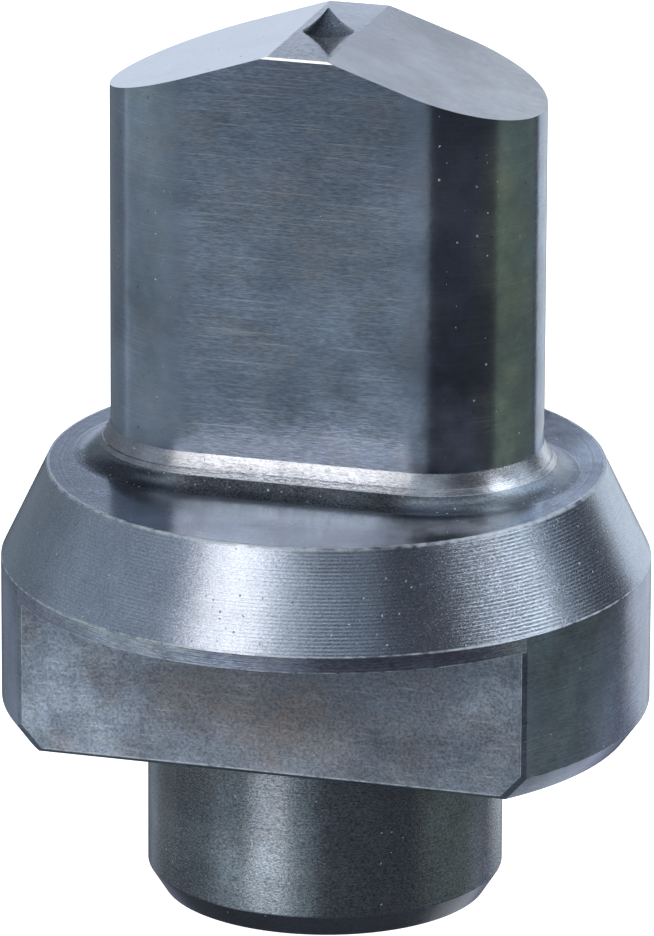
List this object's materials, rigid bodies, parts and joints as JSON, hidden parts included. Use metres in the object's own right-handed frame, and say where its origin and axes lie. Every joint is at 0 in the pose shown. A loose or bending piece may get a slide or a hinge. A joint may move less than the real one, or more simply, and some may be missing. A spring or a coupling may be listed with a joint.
{
  "type": "oblong hole punch",
  "caption": "Punch for oblong holes: obround blade with roof shear and centring pip, conical collar with an orientation flat, and a locating spigot.",
  "frame": {"origin": "centre of the spigot's end face, on the turning axis", "axes": "+Z along the turning axis towards the cutting end, X along the oblong, -Y out of the flat on the collar"},
  "size_m": [0.0296, 0.0296, 0.0413],
  "materials": {
    "tool_steel": "bare hardened tool steel, turned and ground, lightly oiled"
  },
  "bodies": {
    "root": {"oblong_punch": "tool_steel"}
  },
  "joints": []
}
